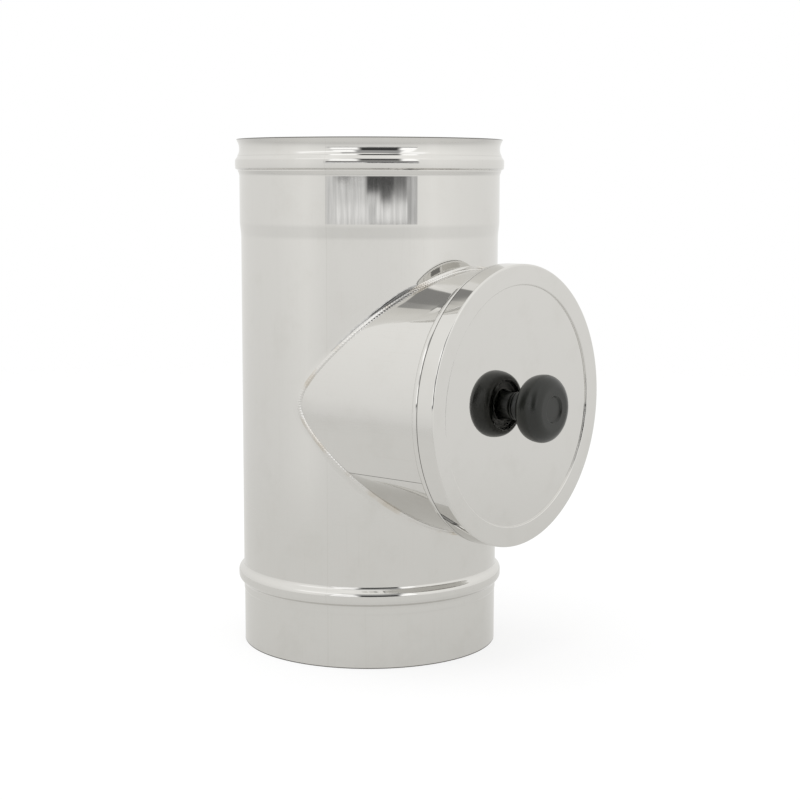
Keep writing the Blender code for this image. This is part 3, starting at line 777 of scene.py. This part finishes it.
spigot = TUBE_RADIUS - SPIGOT_RELIEF
socket_step = TEE_HEIGHT - SOCKET_DEPTH
tube_corners = [
    (spigot, 0.0, 0),
    (spigot, SPIGOT_LENGTH, SHOULDER_FILLET),
    (TUBE_RADIUS, SPIGOT_LENGTH + SHOULDER_RUN, SHOULDER_FILLET),
    *bead_corners(TUBE_RADIUS, STOP_BEAD_HEIGHT, STOP_BEAD_FOOT, STOP_BEAD_CREST,
                  STOP_BEAD_RISE, STOP_BEAD_FOOT_FILLET, STOP_BEAD_CREST_FILLET),
    (TUBE_RADIUS, socket_step - SOCKET_STEP_RUN / 2, SOCKET_STEP_FILLET),
    (SOCKET_RADIUS, socket_step + SOCKET_STEP_RUN / 2, SOCKET_STEP_FILLET),
    *socket_bead_corners(),
    *lip_corners(SOCKET_RADIUS, TEE_HEIGHT, SOCKET_LIP_FILLET),
]
print("tube outline has", len(rounded(tube_corners)), "points")

# %% [markdown]
# The branch is a millimetre narrower than the tube. Seen from the side, the two then meet in a
# hyperbola, whose nose is where the branch's flank runs into the tube's. A Boolean would cut the
# hole as well, but its stray triangles would show in a mirror. Here two flat cuts at 45 degrees
# split the wall, and their points then slide along the wall's straight lines to the hyperbola.

# %% Cut the saddle hole
CROSSING = Vector((PIPE_AXIS, 0.0, BRANCH_HEIGHT))


def saddle_reach(height):
    """Distance of the saddle from the tube's axis, at a height off the branch's axis."""
    return math.hypot(SADDLE_NOSE, height)


def cut_saddle(shape):
    """Cuts the branch's hole flat, then slides the points of its rim to the hyperbola."""
    for side in (1, -1):
        front = [face for face in shape.faces if face.calc_center_median().x > PIPE_AXIS]
        edges = {edge for face in front for edge in face.edges}
        verts = {vert for face in front for vert in face.verts}
        bmesh.ops.bisect_plane(
            shape,
            geom=[*front, *edges, *verts],
            dist=TOUCH,
            plane_co=CROSSING,
            plane_no=Vector((1.0, 0.0, -side)).normalized(),
        )
    hole = []
    for face in shape.faces:
        offset = face.calc_center_median() - CROSSING
        if offset.x > abs(offset.z):
            hole.append(face)
    bmesh.ops.delete(shape, geom=hole, context="FACES")
    for vert in shape.verts:
        offset = vert.co - CROSSING
        if offset.x > TOUCH and abs(offset.x - abs(offset.z)) < TOUCH:
            climb = math.sqrt(max(0.0, offset.x**2 - SADDLE_NOSE**2))
            vert.co.z = BRANCH_HEIGHT + math.copysign(climb, offset.z)
    bmesh.ops.remove_doubles(shape, verts=shape.verts, dist=TOUCH)


tube_shape = spun(tube_corners, PIPE_STEPS, UPRIGHT)
cut_saddle(tube_shape)
upright_tube = add_piece("upright_tube", tube_shape, tube_steel, "tee", "polished_stainless",
                         "body_pipe")
make_sheet(upright_tube)

# %% [markdown]
# ## Branch tube
# The branch is a second rolled sheet with a seal bead and a flared lip at its mouth. Its inner
# end was cut to the saddle. In the mesh that end is a plain ring whose points are pushed along
# the branch until they meet the tube, so its long faces stay whole.

# %% Spin the branch and fold its end
BRANCH_BEAD_DEPTH = 12.0 * MM
BRANCH_BEAD_FOOT = 6.8 * MM
BRANCH_BEAD_CREST = 2.8 * MM
BRANCH_BEAD_RISE = 4.3 * MM
BRANCH_BEAD_FOOT_FILLET = 1.2 * MM
BRANCH_BEAD_CREST_FILLET = 2.0 * MM
MOUTH_SWELL = 1.6 * MM
MOUTH_RADIUS = BRANCH_RADIUS + MOUTH_SWELL


def branch_bead_corners():
    """The seal bead of the branch. The mouth in front of it is a little wider than the tube."""
    corners = bead_corners(BRANCH_RADIUS, BRANCH_REACH - BRANCH_BEAD_DEPTH, BRANCH_BEAD_FOOT,
                           BRANCH_BEAD_CREST, BRANCH_BEAD_RISE, BRANCH_BEAD_FOOT_FILLET,
                           BRANCH_BEAD_CREST_FILLET)
    mouth_foot = corners.pop()
    return [*corners, (MOUTH_RADIUS, mouth_foot[1], mouth_foot[2])]


branch_corners = [
    (BRANCH_RADIUS, 0.0, 0),
    *branch_bead_corners(),
    *lip_corners(MOUTH_RADIUS, BRANCH_REACH, LIP_FILLET),
]
branch_shape = spun(branch_corners, PIPE_STEPS, BRANCH)
for vert in branch_shape.verts:
    if vert.co.x < PIPE_AXIS + MM:
        vert.co.x = PIPE_AXIS + saddle_reach(vert.co.z - BRANCH_HEIGHT)
branch_tube = add_piece("branch_tube", branch_shape, branch_steel, "tee", "polished_stainless",
                        "branch_pipe")
make_sheet(branch_tube)

# %% [markdown]
# ## Saddle weld
# Branch and tube are joined by a fine fillet weld run all round the saddle, wider on the tube,
# whose wall is drawn up to it. Sweeping a section along the curve would twist it where the curve
# bends sharply. Instead every ring of the bead starts as a circle round the branch: some rings
# stay on the branch, and the others are laid on the tube a little way off the saddle. The rings
# are bridged into a closed bead, and its faces are turned outward by the sign of its volume.

# %% Weld bead with ripples
WELD_STEPS = 2304
WELD_RIPPLES = 330
WELD_RIPPLE_HEIGHT = 0.05 * MM
WELD_COLOUR = (0.72, 0.71, 0.69, 1.0)
WELD_TINT = (0.62, 0.58, 0.52, 1.0)
WELD_TINT_SIZE = 14 * MM
WELD_TINT_EDGES = (0.45, 0.7)
WELD_GRAIN = 0.6 * MM
WELD_GRAIN_HEIGHT = 0.01 * MM
WELD_ROUGHNESS = (0.14, 0.26)
WELD_RINGS = (
    (0.02 * MM, 1.10 * MM, 0.0, False),
    (0.18 * MM, 0.70 * MM, 0.3, False),
    (0.45 * MM, 0.30 * MM, 0.8, False),
    (0.62 * MM, 0.0, 1.0, False),
    (0.55 * MM, 0.60 * MM, 0.8, True),
    (0.30 * MM, 1.10 * MM, 0.4, True),
    (0.12 * MM, 1.70 * MM, 0.1, True),
    (0.02 * MM, 2.30 * MM, 0.0, True),
    (-0.45 * MM, 0.0, 0.0, False),
)


def ripple(angle):
    return WELD_RIPPLE_HEIGHT * math.cos(WELD_RIPPLES * angle)


def on_branch(angle, rise, room):
    """A point on the branch's wall beside the saddle, in the branch's own axes."""
    radius = BRANCH_RADIUS + rise
    height, side = radius * math.cos(angle), radius * math.sin(angle)
    return Vector((height, side, saddle_reach(height) + room))


def on_tube(angle, rise, room):
    """A point on the tube's wall: off the saddle upward or downward at its crowns, and sideways
    at its noses."""
    height = BRANCH_RADIUS * math.cos(angle)
    reach = saddle_reach(height)
    climb = abs(math.cos(angle))
    move = room / (1 - climb + climb * abs(height) / reach)
    along = reach - move * (1 - climb)
    side = math.sqrt(max(0.0, (TUBE_RADIUS + rise) ** 2 - along**2))
    return Vector((height + math.copysign(move * climb, height),
                   math.copysign(side, math.sin(angle)), along))


weld_shape = bmesh.new()
bmesh.ops.create_circle(weld_shape, cap_ends=False, segments=WELD_STEPS, radius=BRANCH_RADIUS)
rings = []
edges = list(weld_shape.edges)
for index, ring in enumerate(WELD_RINGS):
    if index > 0:
        grown = bmesh.ops.extrude_edge_only(weld_shape, edges=edges)["geom"]
        edges = [item for item in grown if isinstance(item, bmesh.types.BMEdge)
                 and all(vert in grown for vert in item.verts)]
    rings.append((list(edges), *ring))
for edges, rise, room, share, tubeward in rings:
    lay = on_tube if tubeward else on_branch
    for vert in {vert for edge in edges for vert in edge.verts}:
        angle = math.atan2(vert.co.y, vert.co.x)
        vert.co = lay(angle, rise + share * ripple(angle), room)
bmesh.ops.bridge_loops(weld_shape, edges=rings[0][0] + rings[-1][0])
bmesh.ops.recalc_face_normals(weld_shape, faces=weld_shape.faces)
if weld_shape.calc_volume(signed=True) < 0:
    bmesh.ops.reverse_faces(weld_shape, faces=weld_shape.faces)
bmesh.ops.transform(weld_shape, matrix=BRANCH, verts=weld_shape.verts)


def weld_finish():
    material, wire = new_finish("weld_bead_steel")
    own = placed(wire, BRANCH)
    grain = noise(wire, own, WELD_GRAIN, detail=3.0)
    tint = noise(wire, own, WELD_TINT_SIZE, detail=2.0).step(*WELD_TINT_EDGES)
    surface = {
        "Base Color": tint.mix(WELD_COLOUR, WELD_TINT),
        "Metallic": 1.0,
        "Roughness": grain.between(*WELD_ROUGHNESS),
    }
    close_finish(wire, surface, grain * WELD_GRAIN_HEIGHT)
    return material


add_piece("saddle_weld", weld_shape, weld_finish(), "tee", "weld_stainless", "junction_weld")

# %% [markdown]
# ## Silicone seals
# A black silicone ring sits in each bead and grips what is pushed in. Its back follows the bead
# from inside, one sheet and a small gap away, and its front is a soft lip. The ring is closed, so
# it is spun from a closed outline instead of being given a wall.

# %% Seal rings
FIT_GAP = 0.3 * MM
SEAL_LIP = 1.2 * MM
SEAL_LIP_WIDTH = 1.6 * MM
SEAL_LIP_FILLET = 0.4 * MM
SLEEVE_CLEARANCE = 0.8 * MM
SLEEVE_RADIUS = BRANCH_RADIUS - SHEET - SLEEVE_CLEARANCE
SEAL_STEPS = 192
SEAL_BLACK = (0.018, 0.018, 0.018, 1.0)
SEAL_DUST = (0.06, 0.058, 0.055, 1.0)
SEAL_BLOOM = 6 * MM
SEAL_BLOOM_EDGES = (0.45, 0.8)
SEAL_GRAIN = 0.25 * MM
SEAL_GRAIN_HEIGHT = 0.012 * MM
SEAL_ROUGHNESS = (0.5, 0.75)


def left_of(direction):
    return Vector((-direction.y, direction.x))


def shifted(points, distance):
    """Shifts an outline to its left, with each corner on its bisector. The ends are dropped."""
    moved = []
    for before, point, after in zip(points, points[1:], points[2:]):
        incoming, outgoing = (point - before).normalized(), (after - point).normalized()
        bisector = (left_of(incoming) + left_of(outgoing)).normalized()
        moved.append(point + bisector * distance / bisector.dot(left_of(outgoing)))
    return moved


def seal_corners(bead, lip_radius):
    """A closed ring section: the bead's inside, and a rounded lip at the given radius."""
    run = bead[0][2] + bead[-1][2]
    groove = rounded([
        (bead[0][0], bead[0][1] - run, 0),
        *bead,
        (bead[-1][0], bead[-1][1] + run, 0),
    ])
    backed = [(point.x, point.y, 0) for point in shifted(groove, SHEET + FIT_GAP)]
    middle = (bead[1][1] + bead[2][1]) / 2
    return [
        *backed,
        (lip_radius, middle + SEAL_LIP_WIDTH / 2, SEAL_LIP_FILLET),
        (lip_radius, middle - SEAL_LIP_WIDTH / 2, SEAL_LIP_FILLET),
        backed[0],
    ]


def seal_finish():
    """Matt black silicone with a faint bloom of dust."""
    material, wire = new_finish("black_silicone")
    own = placed(wire, UPRIGHT)
    bloom = noise(wire, own, SEAL_BLOOM, detail=5.0, roughness=0.65)
    grain = noise(wire, own, SEAL_GRAIN, detail=2.0)
    surface = {
        "Base Color": bloom.step(*SEAL_BLOOM_EDGES).mix(SEAL_BLACK, SEAL_DUST),
        "Roughness": bloom.between(*SEAL_ROUGHNESS),
    }
    close_finish(wire, surface, grain * SEAL_GRAIN_HEIGHT)
    return material


silicone = seal_finish()
SEALS = (
    ("socket_seal_ring", socket_groove_corners(), SOCKET_RADIUS - SHEET - SEAL_LIP, UPRIGHT,
     "socket_seal"),
    ("branch_seal_ring", branch_bead_corners(), SLEEVE_RADIUS + FIT_GAP, BRANCH, "branch_seal"),
)
for name, bead, lip_radius, place, node in SEALS:
    seal_shape = spun(seal_corners(bead, lip_radius), SEAL_STEPS, place)
    true_normals(add_piece(name, seal_shape, silicone, "tee", "seal_silicone", node))

# %% [markdown]
# ## Cap lid
# The lid is one pressing: a flat panel set back by a millimetre, a flat land round it, a rounded
# edge and a skirt that covers the lip and stops just short of the bead. The panel is the truest
# mirror on the object, and the knob's whole image stands in it, so nothing may dent its normals,
# and its finish has no flats. The skirt's sheared end is painted dark, like the tube's: painted
# shade of the gap under it, besides the unpolished edge.

# %% Press the lid
LID_EDGE_FILLET = 1.2 * MM
SKIRT_CLEARANCE = 0.6 * MM
SKIRT_END = BRANCH_BEAD_CREST / 2 - BRANCH_BEAD_DEPTH + SKIRT_CLEARANCE
LAND_WIDTH = 11.5 * MM
RECESS_DEPTH = 1.0 * MM
RECESS_FILLET = 0.55 * MM
RECESS_RADIUS = LID_RADIUS - LAND_WIDTH
PANEL_FRONT = LAND_FRONT - RECESS_DEPTH
THREAD_RADIUS = 3.0 * MM
SCREW_HOLE_RADIUS = THREAD_RADIUS + FIT_GAP
LID_ROUGHNESS = 0.018


def shaded_skirt_end(wire, own):
    """1 at the sheared end of the lid's skirt, painted dark as the shade of the gap under it."""
    height = parts_of(wire, own)[2]
    return height.step(SKIRT_END + DARK_EDGE_WIDTH, SKIRT_END + DARK_EDGE_SHARP)


# The skirt's dark end is painted shade of the gap under it.
lid_steel = steel_finish("polished_lid_steel", CAP, LID_ROUGHNESS, flat_height=0.0,
                         unpolished_and_shaded=shaded_skirt_end)
lid_corners = [
    (LID_RADIUS, SKIRT_END, 0),
    (LID_RADIUS, LAND_FRONT, LID_EDGE_FILLET),
    (RECESS_RADIUS, LAND_FRONT, RECESS_FILLET),
    (RECESS_RADIUS, PANEL_FRONT, RECESS_FILLET - SHEET / 2),
    (SCREW_HOLE_RADIUS, PANEL_FRONT, 0),
]
lid = add_piece("cap_lid_pressing", spun(lid_corners, PIPE_STEPS, CAP), lid_steel, "cap",
                "polished_stainless", "cap_lid")
make_sheet(lid)

# %% [markdown]
# ## Plug sleeve
# Behind the lid sits the ring that plugs the branch: a short sleeve with a led-in end and a
# flange that is spot-welded under the lid's land. It shows when the cap is pulled.

# %% Roll the sleeve
SLEEVE_LENGTH = 30.4 * MM
SLEEVE_LEAD = 1.0 * MM
SLEEVE_LEAD_LENGTH = 3.0 * MM
SLEEVE_LEAD_FILLET = 2.0 * MM
SLEEVE_FLANGE_CLEARANCE = 0.8 * MM
SLEEVE_FILLET = 0.9 * MM
SLEEVE_TOP = LAND_FRONT - SHEET - FIT_GAP

sleeve_end = SLEEVE_TOP - SLEEVE_LENGTH
sleeve_corners = [
    (SLEEVE_RADIUS - SLEEVE_LEAD, sleeve_end, 0),
    (SLEEVE_RADIUS, sleeve_end + SLEEVE_LEAD_LENGTH, SLEEVE_LEAD_FILLET),
    (SLEEVE_RADIUS, SLEEVE_TOP, SLEEVE_FILLET),
    (RECESS_RADIUS + SHEET + SLEEVE_FLANGE_CLEARANCE, SLEEVE_TOP, 0),
]
sleeve = add_piece("plug_sleeve", spun(sleeve_corners, PIPE_STEPS, CAP), sleeve_steel, "cap",
                   "polished_stainless", "cap_sleeve")
make_sheet(sleeve)

# %% [markdown]
# ## Knob
# The knob is moulded in black plastic as one mushroom: a hub that stands on the panel, a round
# head hollowed from behind to an even wall, and a shallow dimple in front. It could be sculpted
# from a sphere, but a mould for it is turned, so one closed outline is spun about its axis.

# %% Turn the knob
KNOB_WIDEST_AT = 16.7 * MM
KNOB_FACE_RADIUS = 11.5 * MM
KNOB_BACK_RADIUS = 14.9 * MM
KNOB_BACK_AT = 8.5 * MM
KNOB_RIM_WIDTH = 0.9 * MM
KNOB_RIM_FILLET = 0.3 * MM
KNOB_CAVITY_FLOOR = 11.5 * MM
KNOB_CAVITY_DRAFT = 0.8 * MM
KNOB_CAVITY_FILLET = 1.0 * MM
KNOB_DIMPLE_RADIUS = 7.7 * MM
KNOB_DIMPLE_DEPTH = 1.1 * MM
KNOB_DIMPLE_DRAFT = 0.9 * MM
KNOB_DIMPLE_FILLET = 0.4 * MM
HUB_FOOT_RADIUS = 8.0 * MM
HUB_FOOT_HEIGHT = 1.1 * MM
HUB_FOOT_FILLET = 0.4 * MM
HUB_WAIST_RADIUS = 7.3 * MM
HUB_WAIST_AT = 2.6 * MM
HUB_ROOT_RADIUS = 8.3 * MM
HUB_ROOT_FILLET = 1.0 * MM
BUSH_RADIUS = 4.2 * MM
BUSH_LENGTH = 11.0 * MM
KNOB_STEPS = 144
KNOB_BLACK = (0.006, 0.007, 0.0055, 1.0)
KNOB_WORN = (0.011, 0.012, 0.0095, 1.0)
KNOB_CLOUD = 9 * MM
KNOB_GRAIN = 0.35 * MM
KNOB_GRAIN_HEIGHT = 0.004 * MM
KNOB_ROUGHNESS = (0.24, 0.34)
PLASTIC_IOR = 1.5
CROWN_STEPS = 16
FLANK_STEPS = 12

widest = PANEL_FRONT + KNOB_WIDEST_AT
knob_back = PANEL_FRONT + KNOB_BACK_AT
knob_foot = PANEL_FRONT + FIT_GAP
cavity_floor = PANEL_FRONT + KNOB_CAVITY_FLOOR
cavity_mouth = KNOB_BACK_RADIUS - KNOB_RIM_WIDTH
dimple_floor = KNOB_FRONT - KNOB_DIMPLE_DEPTH
bush_room = BUSH_RADIUS + FIT_GAP
bush_end = knob_foot + BUSH_LENGTH + FIT_GAP
crown = ellipse_arc((KNOB_FACE_RADIUS, widest), KNOB_RADIUS - KNOB_FACE_RADIUS,
                    KNOB_FRONT - widest, 0.0, math.pi / 2, CROWN_STEPS)
flank = ellipse_arc((KNOB_BACK_RADIUS, widest), KNOB_RADIUS - KNOB_BACK_RADIUS,
                    widest - knob_back, -math.pi / 2, 0.0, FLANK_STEPS)
knob_corners = [
    (0.0, bush_end, 0),
    (bush_room, bush_end, 0),
    (bush_room, knob_foot, 0),
    (HUB_FOOT_RADIUS, knob_foot, 0),
    (HUB_FOOT_RADIUS, PANEL_FRONT + HUB_FOOT_HEIGHT, HUB_FOOT_FILLET),
    (HUB_WAIST_RADIUS, PANEL_FRONT + HUB_WAIST_AT, HUB_ROOT_FILLET),
    (HUB_ROOT_RADIUS, cavity_floor, HUB_ROOT_FILLET),
    (cavity_mouth - KNOB_CAVITY_DRAFT, cavity_floor, KNOB_CAVITY_FILLET),
    (cavity_mouth, knob_back, KNOB_RIM_FILLET),
    *flank,
    *crown[1:],
    (KNOB_DIMPLE_RADIUS, KNOB_FRONT, KNOB_DIMPLE_FILLET),
    (KNOB_DIMPLE_RADIUS - KNOB_DIMPLE_DRAFT, dimple_floor, KNOB_DIMPLE_FILLET),
    (0.0, dimple_floor, 0),
]


def knob_finish():
    """Black moulded plastic: a fine eroded grain, its colour and gloss worn in soft patches."""
    material, wire = new_finish("black_moulded_plastic")
    own = placed(wire, CAP)
    grain = noise(wire, own, KNOB_GRAIN, detail=2.0)
    cloud = noise(wire, own, KNOB_CLOUD, detail=3.0)
    surface = {
        "Base Color": cloud.mix(KNOB_BLACK, KNOB_WORN),
        "Roughness": cloud.between(*KNOB_ROUGHNESS),
        "IOR": PLASTIC_IOR,
    }
    close_finish(wire, surface, grain * KNOB_GRAIN_HEIGHT)
    return material


knob = add_piece("moulded_knob", spun(knob_corners, KNOB_STEPS, CAP), knob_finish(), "cap",
                 "knob_plastic", "knob")
true_normals(knob)

# %% [markdown]
# ## Bush, screw and washers
# These come straight from the CAD: their shapes are right, and they only need their finishes.
# A node's own material slots are set, and its mesh is left alone.

# %% Finish the fastenings
METAL_GRAIN = 0.3 * MM
METAL_GRAIN_HEIGHT = 0.006 * MM
METAL_GRAIN_DULLNESS = 0.15
WORN_EDGES = (0.4, 0.7)
BRASS = ((0.75, 0.56, 0.27, 1.0), (0.62, 0.44, 0.20, 1.0), 3 * MM, 0.22)
ZINC = ((0.68, 0.69, 0.71, 1.0), (0.58, 0.59, 0.60, 1.0), 2.5 * MM, 0.24)


def metal_finish(name, colour, worn, size, roughness):
    """A plain machined or plated metal with fine grain and slightly worn patches."""
    material, wire = new_finish(name)
    own = placed(wire, CAP)
    grain = noise(wire, own, METAL_GRAIN, detail=3.0)
    patches = noise(wire, own, size, detail=3.0).step(*WORN_EDGES)
    surface = {
        "Base Color": patches.mix(colour, worn),
        "Metallic": 1.0,
        "Roughness": grain * METAL_GRAIN_DULLNESS + roughness,
    }
    close_finish(wire, surface, grain * METAL_GRAIN_HEIGHT)
    return material


brass = metal_finish("turned_brass", *BRASS)
zinc = metal_finish("zinc_plate", *ZINC)
for node, material in (("knob_bush", brass), ("knob_screw", zinc), ("knob_washer", zinc),
                       ("knob_spring_washer", zinc)):
    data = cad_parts[node].data
    data.materials.clear()
    data.materials.append(material)
    print(node, "is finished in", material.name)
